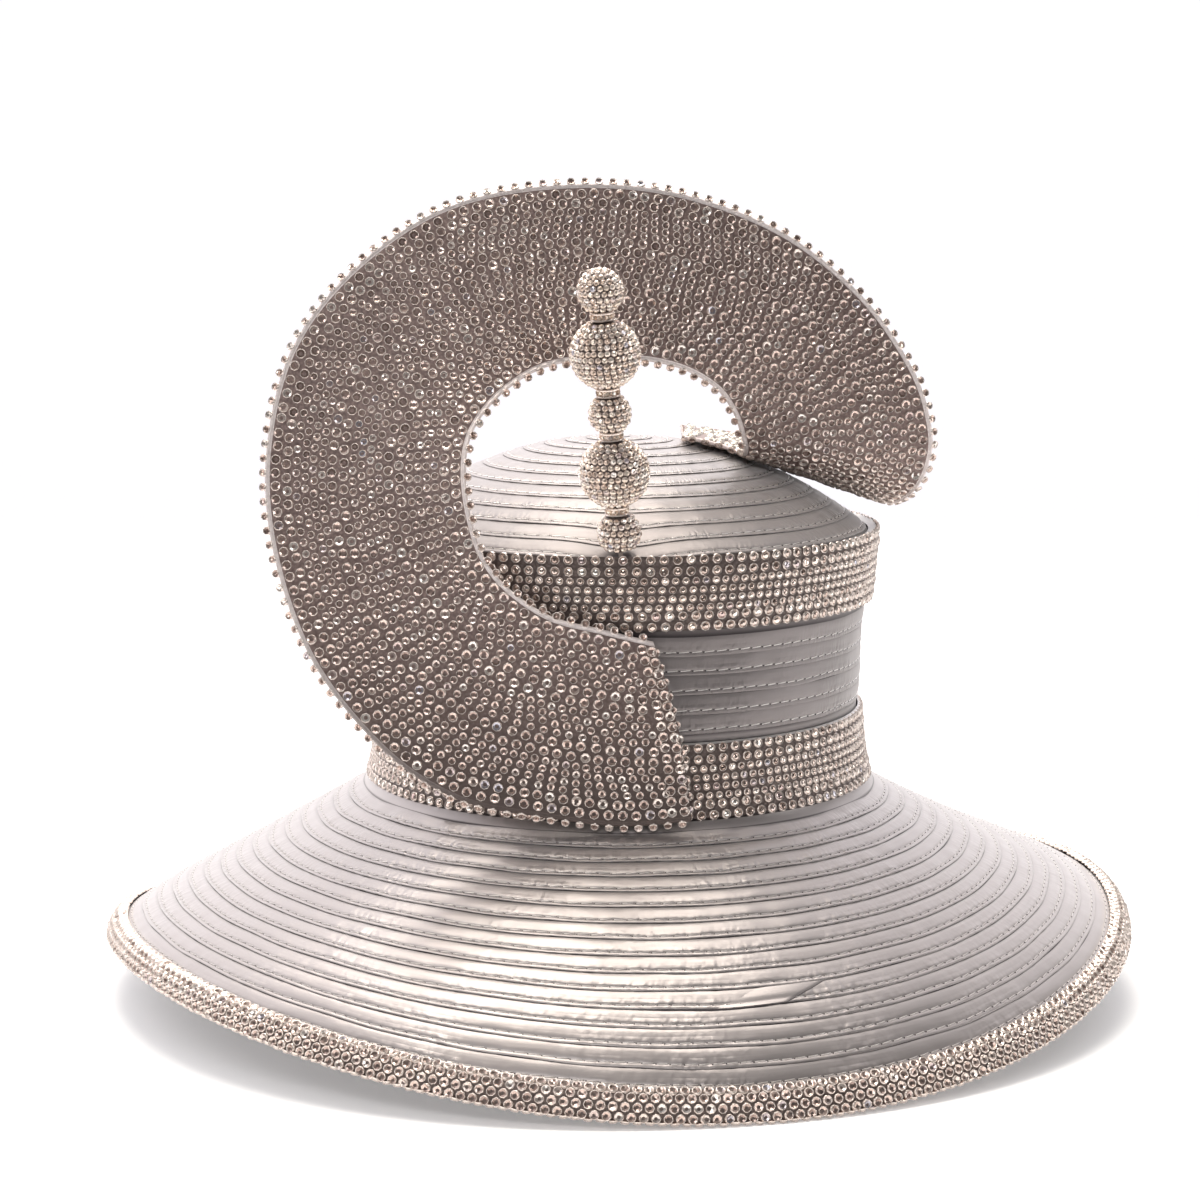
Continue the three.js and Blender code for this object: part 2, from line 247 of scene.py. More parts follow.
# %% The shader helpers
class Wire:
    """An output socket that can be added, multiplied and so on."""

    def __init__(self, graph, socket):
        self.graph = graph
        self.socket = socket

    def maths(self, operation, *values):
        sockets = dict(enumerate(values))
        return self.graph.node("ShaderNodeMath", {"operation": operation}, sockets)

    def __add__(self, other):
        return self.maths("ADD", self, other)

    def __radd__(self, other):
        return self.maths("ADD", other, self)

    def __sub__(self, other):
        return self.maths("SUBTRACT", self, other)

    def __rsub__(self, other):
        return self.maths("SUBTRACT", other, self)

    def __mul__(self, other):
        return self.maths("MULTIPLY", self, other)

    def __rmul__(self, other):
        return self.maths("MULTIPLY", other, self)

    def clipped(self):
        return self.maths("MINIMUM", self.maths("MAXIMUM", self, 0.0), 1.0)


class Graph:
    """A node tree whose nodes are added by kind."""

    def __init__(self, tree):
        self.tree = tree

    def node(self, kind, settings=None, sockets=None, output=0):
        """Adds a node of a kind, sets it, feeds its sockets and returns one of its outputs."""
        node = self.tree.nodes.new(kind)
        for setting, value in (settings or {}).items():
            if setting == "stops":
                self.set_stops(node.color_ramp, value)
            else:
                setattr(node, setting, value)
        for socket, value in (sockets or {}).items():
            self.feed(node.inputs[socket], value)
        return Wire(self, node.outputs[output])

    def set_stops(self, ramp, stops):
        while len(ramp.elements) < len(stops):
            ramp.elements.new(0.5)
        for element, (place, colour) in zip(ramp.elements, stops):
            element.position = place
            element.color = (*colour, 1)

    def feed(self, socket, value):
        if isinstance(value, Wire):
            self.tree.links.new(value.socket, socket)
        elif isinstance(value, tuple) and len(value) == 3 and socket.type == "RGBA":
            socket.default_value = (*value, 1)
        else:
            socket.default_value = value


class Finish(Graph):
    """A material, with short names for what several finishes need."""

    def __init__(self, name, **constants):
        self.material = bpy.data.materials.new(name)
        self.material.use_nodes = True
        super().__init__(self.material.node_tree)
        print("finish:", name)
        self.shader = self.tree.nodes["Principled BSDF"]
        for socket, value in constants.items():
            self.shader.inputs[socket.replace("_", " ")].default_value = value

    def shade(self, socket, value):
        self.feed(self.shader.inputs[socket], value)

    def place(self):
        return self.node("ShaderNodeTexCoord", output="Object")

    def number(self, name):
        return self.node("ShaderNodeAttribute", {"attribute_name": name}, output="Fac")

    def noise(self, where, scale, detail=2.0):
        return self.node("ShaderNodeTexNoise", sockets={
            "Vector": where, "Scale": scale, "Detail": detail})

    def blend(self, share, one, other):
        return self.node("ShaderNodeMix", {"data_type": "RGBA"}, {
            "Factor": share, 6: one, 7: other}, output=2)

    def bump(self, height, strength, distance):
        normal = self.node("ShaderNodeBump", sockets={
            "Strength": strength, "Distance": distance, "Height": height})
        self.shade("Normal", normal)


# %% [markdown]
# ## Satin
# Satin is woven with long floating threads along the ribbon. They give it a broad soft
# shine, faint streaks along the ribbon and small puckers across it, strongest beside the
# stitching. The streaks need a direction, so the shader turns its place into polar
# coordinates: a length round the hat and a distance from its middle. Corners that lie in a
# lap or a stitch groove carry a number for painted shade. The satin is painted dark there
# by it, standing in for the shadow in a real narrow gap. Whole rows carry some painted
# shade too: all the rows of the crown's wall, and the dome's lower rows toward its foot.

# %% Satin finish
LAP_SHADOW = (0.035, 0.026, 0.030)
NEEDLE_HOLE_SHADE = (0.03, 0.024, 0.026)


def ribbon_noise(finish, along, across):
    """Noise that runs round the hat, with one scale along the ribbon and one across it."""
    place = finish.place()
    x, y, z = (finish.node("ShaderNodeSeparateXYZ", sockets={0: place}, output=axis)
               for axis in range(3))
    turn = x.maths("ARCTAN2", x, 0.0 - y)
    radius = x.maths("SQRT", x * x + y * y)
    polar = finish.node("ShaderNodeCombineXYZ", sockets={
        0: turn * along, 1: radius * across, 2: z * across})
    return finish.noise(polar, 1.0, 1.0)


def satin(name, light, dark):
    finish = Finish(name, Metallic=0.7, Sheen_Weight=0.7, Sheen_Roughness=0.5,
                    Sheen_Tint=(1.0, 0.97, 0.96, 1))
    soft = finish.noise(finish.place(), 22.0)
    streaks = ribbon_noise(finish, along=7.0, across=900.0)
    puckers = ribbon_noise(finish, along=60.0, across=240.0)
    patches = ribbon_noise(finish, along=5.0, across=30.0)
    near_stitch = finish.number("pucker")
    crease = finish.number("crease")
    tone = finish.blend((soft * 0.7 + streaks * 0.3).clipped(), light, dark)
    # Painted shade: the satin is painted toward the lap shadow colour wherever a corner's number
    # asks for it.
    finish.shade("Base Color", finish.blend(crease.clipped(), tone, LAP_SHADOW))
    finish.shade("Roughness", 0.31 + streaks * 0.10 + crease * 0.3)
    gathers = puckers * near_stitch * (patches * 4.0 - 1.4).clipped()
    finish.bump(streaks * 0.05 + gathers * 1.2, 0.7, 0.0007)
    return finish.material


SATIN = satin("satin", (0.40, 0.362, 0.352), (0.335, 0.30, 0.294))


def thread_finish(name, dim, bright):
    finish = Finish(name, Metallic=0.55, Roughness=0.3)
    hole = finish.number("hole")
    twist = finish.noise(finish.place(), 1500.0, 1.0)
    tone = finish.blend(twist, dim, bright)
    # Painted shade: where the thread dives into its needle hole, it is painted near black.
    finish.shade("Base Color", finish.blend((hole * 1.4).clipped(), tone, NEEDLE_HOLE_SHADE))
    return finish.material


# Two tones of one thread: the crown's is lightened as a painted highlight, the brim's darkened as
# painted shade.
CROWN_THREAD_HIGHLIGHT = thread_finish("crown_thread_highlight", (0.80, 0.76, 0.73), (1.0, 0.96, 0.93))
BRIM_THREAD_SHADE = thread_finish("brim_thread_shade", (0.60, 0.56, 0.54), (0.80, 0.76, 0.73))

# %% [markdown]
# ## Rows of ribbon
# Each row's lower edge lies over the next row, like shingles. Between its edges the ribbon
# is puffed, and a line of stitches pulls a groove near the lower edge. One short profile
# says all of this: a share of the row, and how far the satin stands off the hat there. It
# ends by turning under the edge, which leaves a real gap for the shadow. The profile also
# gives each corner an amount of painted shade, which paints the gap under the edge and the
# stitch groove darker.
# Sewing is never quite even, so every row also gets its own slow waves, from a seeded draw.

# %% The profile of a row
ROW = np.array([
    # share of the row, rise, painted shade, pucker
    (0.00, 0.20, 1.00, 0.0),
    (0.025, 0.26, 0.05, 0.1),
    (0.22, 0.42, 0.00, 0.3),
    (0.48, 0.53, 0.00, 0.4),
    (0.66, 0.47, 0.00, 0.9),
    (0.755, 0.36, 0.30, 1.0),
    (0.785, 0.27, 0.60, 1.0),
    (0.815, 0.36, 0.30, 1.0),
    (0.93, 0.55, 0.00, 0.8),
    (1.005, 0.58, 0.00, 0.5),
    (1.02, 0.50, 0.50, 0.2),
    (1.015, 0.38, 1.00, 0.0),
    (0.965, 0.30, 1.00, 0.0),
])
STITCH_SHARE = 0.785
STITCH_LEVEL = 0.33
GROOVE_HALF = 0.05
DRIFT = {"height": 0.16, "longest": 160, "shortest": 30}
PUFFING = {"height": 0.10, "longest": 60, "shortest": 9}
RIPPLE = {"height": 0.06, "longest": 14, "shortest": 4.5}
SINES = 6
SINES_PEAK = 2.5
print("a row stands", ROW[:, 1].max(), "mm off the hat at most, before its waves")


def waves(draw, angle, kind, radius):
    """A smooth closed wave round the hat, made of a few sines of random count and phase."""
    fewest = max(2, int(2 * pi * radius / kind["longest"]))
    most = max(4, int(2 * pi * radius / kind["shortest"]))
    counts = draw.integers(fewest, most, SINES)
    phases = draw.uniform(0, 2 * pi, SINES)
    sines = sum(np.sin(count * angle + phase) for count, phase in zip(counts, phases))
    return kind["height"] * (sines / SINES_PEAK)


class Rows:
    """Lapped ribbon rows between two lengths of an outline, on one surface of the hat."""

    # The strength for the groove scales the painted shade in the stitch groove, and shade gives
    # whole rows painted shade, from the first row to the last.
    def __init__(self, line, surface, start, end, count, seed, sag=None, puff=1.0, groove_shade=1.0,
                 shade=(0.0, 0.0)):
        self.line = line
        self.surface = surface
        self.puff = puff
        self.groove_shade = groove_shade
        self.shade = np.linspace(*shade, count)
        self.pitch = (end - start) / count
        self.starts = start + self.pitch * np.arange(count)
        self.seed = seed
        self.sag = sag

    def place(self, row, share, rise, angle):
        """Length and rise on the outline for a share of a row, with the row's own waves."""
        draw = np.random.default_rng(self.seed + row)
        radius = self.line.at(self.starts[row] + self.pitch / 2)[0]
        drift, puff, ripple = (waves(draw, angle, kind, radius)
                               for kind in (DRIFT, PUFFING, RIPPLE))
        middle = np.sin(pi * np.clip(share, 0, 1))
        low = np.clip(share, 0, 1) ** 2
        rise = self.puff * (rise + puff * middle + ripple * low)
        length = self.starts[row] + share * self.pitch + drift
        if self.sag:
            length = length + self.sag(self.starts[row] + share * self.pitch, angle)
        return length, rise

    def lay(self, angle):
        """The corners of all rows at the given angles, with each corner's painted shade and
        pucker.
        """
        places = []
        numbers = []
        for row in range(len(self.starts)):
            for share, rise, crease, pucker in ROW:
                places.append(self.surface(*self.place(row, share, rise, angle), angle))
                strength = self.groove_shade if abs(share - STITCH_SHARE) < GROOVE_HALF else 1
                numbers.append((max(crease * strength, self.shade[row]), pucker))
        return places, numbers


# %% [markdown]
# ## The crown
# The crown is a single closed shell. It starts with a small round button at the tip, runs
# down through twelve rows of the dome, under the top band, through five rows of the wall
# and under the base band. Then it turns inside, where the sewing shows as shallow ridges.
# The pin pulls the lowest dome rows down where it enters, so those rows sag toward it.

# %% Crown
CROWN_ANGLES = round_angles(240)
BUTTON_END, DOME_END, WALL_START, WALL_END = 4, 97.5, 125.8, 160
BUTTON_RINGS, BUTTON_RISE = (0.3, 1.5, 3.0, 4.0), 0.45
UNDER_TOP_BAND = (98.5, 110, 124.5)
UNDER_BASE_BAND = (161.5, 163.5, 176, crown_line.length)
TIP_INSIDE = (8.0, 0.3)
INSIDE_START, INSIDE_ROWS = 10, 15
INNER_RIDGE = 0.35
# The last ring under the top band is painted dark, as painted shadow below the band.
PLAIN, UNDER_TOP_BAND_SHADE = (0.0, 0.0), (0.7, 0.0)  # crease and pucker
SHARP_FOLD = 62
PIN_PULL = {"depth": 2.4, "half_width": 15, "reach": 42, "radius": 90, "side": radians(-90)}


def pin_sag(length, angle):
    """How far the dome's rows are pulled down toward the pin."""
    aside = (angle - PIN_PULL["side"] + pi) % (2 * pi) - pi
    across = aside * PIN_PULL["radius"] / PIN_PULL["half_width"]
    nearness = np.clip(1 - (DOME_END - length) / PIN_PULL["reach"], 0, 1)
    return PIN_PULL["depth"] * np.exp(-across * across) * nearness * nearness


def inner_rows(surface, start, end, count, angle):
    """The rough side of sewn rows: shallow ridges, from the end of an outline back to a start."""
    places = []
    pitch = (end - start) / count
    depth = SATIN_WALL - INNER_RIDGE
    for row in reversed(range(count)):
        for share, ridge in ((0.95, 0.0), (0.15, INNER_RIDGE)):
            places.append(surface(start + (row + share) * pitch, -depth - ridge, angle))
    return places


# Painted shade: the dome's rows get more of it toward the foot, in the ornament's half shade, and
# every row of the wall gets the same amount.
dome = Rows(crown_line, on_crown, BUTTON_END, DOME_END, 12, seed=11, sag=pin_sag, puff=0.9,
            groove_shade=0.3, shade=(-0.15, 0.36))
wall = Rows(crown_line, on_crown, WALL_START, WALL_END, 5, seed=31, puff=0.7, groove_shade=1.3,
            shade=(0.38, 0.38))


def plain_rings(surface, lengths, rise, angle):
    return [surface(length, rise, angle) for length in lengths]


def satin_piece(name, node, rings, numbers, faces):
    """Rings of satin as one mesh, with a painted shade and a pucker for each ring."""
    numbers = np.repeat(np.array(numbers)[:, None, :], len(rings[0]), axis=1)
    values = {"crease": numbers[..., 0], "pucker": numbers[..., 1]}
    piece = new_piece(name, np.array(rings), faces, [SATIN], values=values, sharp=SHARP_FOLD)
    belongs(piece, "satin", node)


def make_crown():
    angle = CROWN_ANGLES
    button = plain_rings(on_crown, BUTTON_RINGS, BUTTON_RISE, angle)
    dome_places, dome_numbers = dome.lay(angle)
    under_top_band = plain_rings(on_crown, UNDER_TOP_BAND, 0.0, angle)
    wall_places, wall_numbers = wall.lay(angle)
    under_base_band = plain_rings(on_crown, UNDER_BASE_BAND, 0.0, angle)
    inside = inner_rows(on_crown, INSIDE_START, crown_line.length, INSIDE_ROWS, angle)
    inside += plain_rings(on_crown, TIP_INSIDE, -SATIN_WALL, angle)
    rings = button + dome_places + under_top_band + wall_places + under_base_band + inside
    # Painted shade: the ring under the top band's edge is painted dark, and the satin under the
    # base band keeps the wall's painted shade.
    numbers = ([PLAIN] * len(button) + dome_numbers + [PLAIN, PLAIN, UNDER_TOP_BAND_SHADE]
               + wall_numbers + [(wall.shade[-1], 0.0)] * len(under_base_band)
               + [PLAIN] * len(inside))
    first = np.arange(len(angle))[None, :]
    last = (len(rings) - 1) * len(angle) + first[:, ::-1]
    faces = [grid_faces(len(rings), len(angle)), first, last]
    satin_piece("crown_rows", "crown", rings, numbers, faces)


make_crown()

# %% [markdown]
# ## The brim
# Fifteen more rows run from the crown to the edge. The brim's own section and saddle come
# from the functions above, so the rows only need their two ends. The underside has shallow
# ridges of the same kind as the inside of the crown.

# %% Brim
BRIM_ANGLES = round_angles(344)
BRIM_TURN_UP, TURNED_UP_RINGS = 3.5, (0.0, 3.0)
BRIM_HEM, HEM_RING = 5, 4
UNDER_ROWS = 16
brim_rows = Rows(brim_line, on_brim, BRIM_TURN_UP, brim_line.length - BRIM_HEM, 15, seed=61,
                 groove_shade=0.25)


def make_brim():
    angle = BRIM_ANGLES
    turned_up = plain_rings(on_brim, TURNED_UP_RINGS, 0.0, angle)
    row_places, row_numbers = brim_rows.lay(angle)
    hem = plain_rings(on_brim, (brim_line.length - HEM_RING, brim_line.length), 0.0, angle)
    under = inner_rows(on_brim, 0, brim_line.length, UNDER_ROWS, angle)
    rings = turned_up + row_places + hem + under
    numbers = [PLAIN] * len(turned_up) + row_numbers + [PLAIN] * len(hem + under)
    faces = [grid_faces(len(rings), len(angle), round_rows=True)]
    satin_piece("brim_rows", "brim", rings, numbers, faces)


make_brim()

# %% [markdown]
# ## Stitches
# A sewing machine leaves a chain of short raised threads, each diving into a needle hole.
# One stitch is a slim spindle of thread. Every stitch is that spindle laid on the rows'
# own surface, so it follows the saddle and the sag without any fitting. The stitches lie a
# little aslant. The same thread is given two tones. It is paler on the crown, as a painted
# highlight against the crown's painted shade, and darker on the brim, as painted shade
# where the brim is brightly lit.

# %% Stitches
STITCH_LENGTH = 4.7
STITCH_SLANT = 0.16
STITCH_FILL = 0.94
ROW_SHIFT = 0.37
SPINDLE = np.array([
    # along from -1 to 1, across in mm, height in mm, how deep in the needle hole, which sets its
    # painted shade
    (-1.08, 0.10, 0.03, 1.0),
    (-0.87, -0.32, 0.00, 1.0), (-0.87, 0.00, 0.16, 1.0), (-0.87, 0.26, 0.02, 1.0),
    (-0.74, -0.26, -0.04, 0.0), (-0.74, 0.00, 0.28, 0.0), (-0.74, 0.26, -0.04, 0.0),
    (0.84, -0.26, -0.04, 0.0), (0.84, 0.00, 0.26, 0.0), (0.84, 0.26, -0.04, 0.0),
    (1.00, 0.00, 0.00, 1.0),
])
SPINDLE_SIDES = np.array([(1, 4, 5, 2), (2, 5, 6, 3), (4, 7, 8, 5), (5, 8, 9, 6),
                          (3, 6, 4, 1), (6, 9, 7, 4)])
SPINDLE_TIPS = np.array([(0, 1, 2), (0, 2, 3), (0, 3, 1), (10, 8, 7), (10, 9, 8), (10, 7, 9)])


def sew(name, groups, finish):
    """All the stitches of some groups of rows, as one mesh."""
    corners = []
    needle_hole_shades = []
    for rows in groups:
        for row, start in enumerate(rows.starts):
            radius = rows.line.at(start + STITCH_SHARE * rows.pitch)[0]
            count = round(2 * pi * radius * MEAN_OVAL / STITCH_LENGTH)
            middle = 2 * pi * (np.arange(count) + ROW_SHIFT * row) / count
            angle = middle[:, None] + SPINDLE[None, :, 0] * pi / count * STITCH_FILL
            across = SPINDLE[:, 1] - STITCH_SLANT * SPINDLE[:, 0]
            share = STITCH_SHARE + across[None, :] / rows.pitch + 0 * angle
            length, rise = rows.place(row, share, STITCH_LEVEL + SPINDLE[None, :, 2], angle)
            corners.append(rows.surface(length, rise, angle).reshape(-1, 3))
            needle_hole_shades.append(np.tile(SPINDLE[:, 3], count))
    corners = np.concatenate(corners)
    first = np.arange(0, len(corners), len(SPINDLE))[:, None, None]
    faces = [(first + part[None]).reshape(-1, part.shape[1])
             for part in (SPINDLE_SIDES, SPINDLE_TIPS)]
    thread = new_piece(name, corners, faces, [finish], values={"hole": np.concatenate(needle_hole_shades)})
    belongs(thread, "satin")


sew("crown_stitches", [dome, wall], CROWN_THREAD_HIGHLIGHT)
sew("brim_stitches", [brim_rows], BRIM_THREAD_SHADE)

# %% [markdown]
# Where one length of ribbon ends, the next is lapped over it with a slanting cut. On the
# front right of the brim that end can be seen: a slanting edge across one row, and beside
# it a stretch where the row's lower edge stands open. The lap is a patch of the same row,
# laid a little higher, with painted shade along its cut edge. The opening is a narrow strip
# under the edge, painted dark all over as painted shadow.

# %% The ribbon's end on the brim
SPLICE = {"row": 10, "low": radians(-70), "high": radians(-63.8), "lap": radians(10),
          "lift": 0.34, "opening": radians(19), "gape": 0.09, "rise": 0.46}
LAP_RUN = np.array([0, 0.2, 0.45, 0.7, 0.9, 0.985, 1, 1])
LAP_LIFT = np.array([-0.3, 0.3, 0.7, 0.9, 1, 0.9, 0.5, -0.3])
LAP_PAINTED_SHADE = np.array([0, 0, 0, 0, 0, 0.1, 1, 1])
ROW_EDGE = 1.015
ROW_TOP = ROW[:10]  # the profile as far as the edge, before it turns under


def make_splice():
    """A lapped, slanting ribbon end in one row, and the open edge beside it."""
    row = SPLICE["row"]
    share = np.linspace(0.04, 1.0, 12)[:, None]
    end = SPLICE["low"] + (SPLICE["high"] - SPLICE["low"]) * (1 - share)
    angle = end - SPLICE["lap"] * (1 - LAP_RUN)
    profile = np.interp(share, ROW_TOP[:, 0], ROW_TOP[:, 1])
    rise = profile + SPLICE["lift"] * LAP_LIFT
    lap = on_brim(*brim_rows.place(row, share, rise, angle), angle)
    lap_painted_shade = np.broadcast_to(LAP_PAINTED_SHADE, angle.shape)
    run = np.linspace(0, 1, 40)
    open_angle = SPLICE["low"] - SPLICE["opening"] * (1 - run)
    edges = ROW_EDGE + np.array([0, 1])[:, None] * SPLICE["gape"] * np.sin(pi * run) ** 0.6
    open_place = brim_rows.place(row, edges, SPLICE["rise"], open_angle)
    opening = on_brim(*open_place, open_angle)
    lap_faces = grid_faces(*angle.shape, round_columns=False)
    open_faces = grid_faces(2, run.size, round_columns=False) + angle.size
    corners = np.concatenate([lap.reshape(-1, 3), opening.reshape(-1, 3)])
    # Painted shade along the lap's cut edge, and painted shadow over the whole opening strip.
    crease = np.concatenate([lap_painted_shade.ravel(), np.ones(2 * run.size)])
    splice = new_piece("brim_splice", corners, [lap_faces, open_faces], [SATIN], values={
        "crease": crease, "pucker": 0 * crease})
    belongs(splice, "satin")


make_splice()

# %% [markdown]
# ## Foiled stones in metal cups
# A rhinestone is cut glass with a mirror foil behind it, held in a thin metal cup. At this
# size the foil decides the look: each facet acts as a small tinted mirror. So the stone is
# a metal-like shader on real facets, and no two stones may face quite the same way: every
# stone is spun and tipped a little, as set stones are, and that makes the field glitter.
# The number `tone` is one random value for each stone, for slight differences in tint.
# The swirl's ribbon darkens toward the brim as painted shade, where little light reaches it.
# Its edge is painted pale as a painted highlight, where the rounded rim catches the light.
# The cups on its back are painted darker than those in front, as painted shade against the
# strong light that falls on the tail.

# %% Stone, cup, tape and pale edge finishes
RARE_TINTS = [(0.90, (0.95, 0.89, 0.83)), (0.95, (0.66, 0.50, 0.46)), (1.0, (0.55, 0.54, 0.60))]
FOOT_SHADE_HEIGHT, FOOT_SHADE_FADE = 0.085, 14.0  # in metres, and per metre


def stone_finish(name, dim, bright, mirror):
    finish = Finish(name, Metallic=mirror)
    stops = [(0.0, dim), (0.70, bright), *RARE_TINTS]
    tint = finish.node("ShaderNodeValToRGB", {"stops": stops}, {0: finish.number("tone")})
    haze = finish.noise(finish.place(), 900.0, 1.0)
    finish.shade("Base Color", tint)
    finish.shade("Roughness", 0.06 + haze * 0.12)
    return finish.material


def cup_finish(name, dim, bright):
    finish = Finish(name, Metallic=0.55)
    wear = finish.noise(finish.place(), 600.0, 2.0)
    finish.shade("Base Color", finish.blend(wear, dim, bright))
    finish.shade("Roughness", 0.18 + wear * 0.14)
    return finish.material


def tape_finish(name, thread, hole, foot_shade=None):
    """A metal mesh. With a foot shade colour, it darkens to that colour toward the hat's brim, as
    painted shade.
    """
    finish = Finish(name, Metallic=0.35)
    mesh_holes = finish.node("ShaderNodeTexVoronoi", {"feature": "F1"}, {
        "Vector": finish.place(), "Scale": 900.0}, output="Distance")
    soft = finish.noise(finish.place(), 60.0)
    tone = finish.blend((mesh_holes * 0.9 + soft * 0.3).clipped(), thread, hole)
    # Painted shade: below a set height the mesh is blended toward the foot colour.
    if foot_shade:
        height = finish.node("ShaderNodeSeparateXYZ", sockets={0: finish.place()}, output="Z")
        above = ((height - FOOT_SHADE_HEIGHT) * FOOT_SHADE_FADE).clipped()
        tone = finish.blend(above, foot_shade, tone)
    finish.shade("Base Color", tone)
    finish.shade("Roughness", 0.42 + soft * 0.2)
    finish.bump(mesh_holes, 0.5, 0.0003)
    return finish.material


def piping_finish():
    finish = Finish("pale_edge", Metallic=0.25)
    soft = finish.noise(finish.place(), 250.0)
    finish.shade("Base Color", finish.blend(soft, (0.60, 0.56, 0.54), (0.78, 0.75, 0.72)))
    finish.shade("Roughness", 0.28 + soft * 0.2)
    finish.bump(soft, 0.3, 0.0003)
    return finish.material


STONE = stone_finish("foiled_stone", (0.37, 0.272, 0.238), (0.82, 0.64, 0.56), 0.65)
BAND_STONE = stone_finish("band_stone", (0.43, 0.328, 0.283), (1.0, 0.845, 0.755), 0.8)
PIN_STONE = stone_finish("pin_stone", (0.70, 0.54, 0.44), (1.0, 0.88, 0.75), 0.6)
CUP = cup_finish("stone_cups", (0.86, 0.735, 0.665), (0.96, 0.85, 0.775))
# Painted shade: a darker copy of the cup finish for the back of the swirl, whose tail catches
# strong light.
SHADED_BACK_CUP = cup_finish("back_cups_painted_shade", (0.48, 0.43, 0.39), (0.60, 0.55, 0.50))
TAPE = tape_finish("band_tape", (0.20, 0.155, 0.14), (0.08, 0.06, 0.055))
RIBBON = tape_finish("swirl_ribbon", (0.37, 0.272, 0.25), (0.175, 0.125, 0.113),
                     foot_shade=(0.085, 0.062, 0.055))
# A painted highlight: the ribbon's rounded edge is painted near white, and it darkens toward the
# brim as painted shade.
RIBBON_EDGE_HIGHLIGHT = tape_finish("swirl_ribbon_edge_highlight", (0.98, 0.89, 0.87), (0.80, 0.72, 0.70),
                          foot_shade=(0.12, 0.09, 0.08))
PIPING = piping_finish()

# %% [markdown]
# One stone is a few rings of corners, from the foot of the cup over its rim to the stone
# inside. The bands' stones rise to a small flat table, those of the swirl and the trim dip
# toward their middle, and those on the pin's balls are round beads. The cup is shaded
# smooth, so its thin rim catches a round highlight, and the stone is left faceted.

# %% Setting stones
BAND_STONE_RINGS = np.array([
    # radius as a share of the cup's, height as a share of it too
    (1.00, -0.26), (0.89, 0.50), (0.79, 0.18), (0.52, 0.40), (0.24, 0.48)])
STONE_RINGS = np.array([
    (1.00, -0.16), (0.87, 0.44), (0.78, 0.18), (0.48, 0.10), (0.20, -0.16)])
PLAIN_STONE_RINGS = np.array([(1.00, -0.16), (0.87, 0.46), (0.76, 0.18), (0.32, -0.04)])
BEAD_RINGS = np.array([(1.00, -0.20), (0.84, 0.42), (0.50, 0.72), (0.20, 0.80)])
SMALL_STONE_RINGS = np.array([(1.00, -0.25), (0.86, 0.45), (0.45, 0.85)])
TONE_SKEW = 1.2
print("rings in a band stone:", len(BAND_STONE_RINGS), "in a bead:", len(BEAD_RINGS))


def stone_template(rings, sides):
    turn = 2 * pi * np.arange(sides) / sides
    corners = np.array([(radius * cos(a), radius * sin(a), height)
                        for radius, height in rings for a in turn])
    walls = grid_faces(len(rings), sides)
    table = np.arange((len(rings) - 1) * sides, len(rings) * sides)[None, :]
    return corners, walls[:, ::-1], table


def unit(vectors):
    return vectors / np.linalg.norm(vectors, axis=-1, keepdims=True)


def set_stones(places, outward, size, sides, seed, rings=STONE_RINGS, tip=0.10, cup_bands=2):
    """Many stones, ready to be one mesh. The first bands of faces between rings are the cup."""
    draw = np.random.default_rng(seed)
    count = len(places)
    template, walls, table = stone_template(rings, sides)
    lean = unit(outward + draw.normal(0, tip, (count, 3)))
    side = unit(np.cross(lean, draw.normal(0, 1, (count, 3))))
    other = np.cross(lean, side)
    axes = np.stack([side, other, lean], 1)
    corners = places[:, None] + np.einsum("ka,nab->nkb", template, axes) * size
    first = np.arange(count)[:, None, None] * len(template)
    walls_all = (first + walls[None]).reshape(-1, 4)
    tables_all = (first + table[None]).reshape(-1, sides)
    wall_finish = np.tile(np.arange(len(walls)) >= sides * cup_bands, count)
    finish = np.concatenate([wall_finish, np.ones(count)])
    smooth = finish == 0
    tone = np.repeat(draw.uniform(0, 1, count) ** TONE_SKEW, len(template))
    return {"corners": corners.reshape(-1, 3), "faces": [walls_all, tables_all],
            "finish": finish, "smooth": smooth, "tone": tone}


def stones_piece(name, batches, slot="stones", finishes=(CUP, STONE)):
    """Joins batches of set stones in one piece."""
    faces = []
    first = 0
    for batch in batches:
        faces += [group + first for group in batch["faces"]]
        first += len(batch["corners"])
    corners, finish, smooth, tone = (np.concatenate([batch[part] for batch in batches])
                                     for part in ("corners", "finish", "smooth", "tone"))
    piece = new_piece(name, corners, faces, finishes, face_finish=finish, smooth=smooth,
                      values={"tone": tone})
    belongs(piece, slot)


# %% [markdown]
# ## The two bands
# Each band is a strip of metal mesh with eight rows of stones: two rows of large ones, four
# of small ones and two of large ones. The rows lie at fixed shares of the band's width, and
# each row is counted out round the head by its own pitch.

# %% Band tapes and stones
LARGE = {"radius": 1.78, "pitch": 4.85}
SMALL = {"radius": 1.42, "pitch": 3.75}
BAND_ROWS = [(0.068, LARGE), (0.217, LARGE), (0.343, SMALL), (0.461, SMALL),
             (0.578, SMALL), (0.695, SMALL), (0.803, LARGE), (0.944, LARGE)]
TAPE_DEPTH = 1.35
TAPE_SHARES = (0.02, 0.25, 0.5, 0.75, 0.98)
SHARP_TAPE = 50
BAND_CLEARANCE = 0.6
ROW_TURN = 0.003
BANDS = {
    "top_band": {"face": [(95.9, 156.1), (95.6, 148), (94.7, 138), (93.7, 129.6)],
                 "back": (98.5, 123.5), "seed": 101},
    "base_band": {"face": [(90.4, 90.2), (91.2, 80), (92.6, 70), (93.9, 64.4)],
                  "back": (163.1, 188.5), "seed": 131},
}


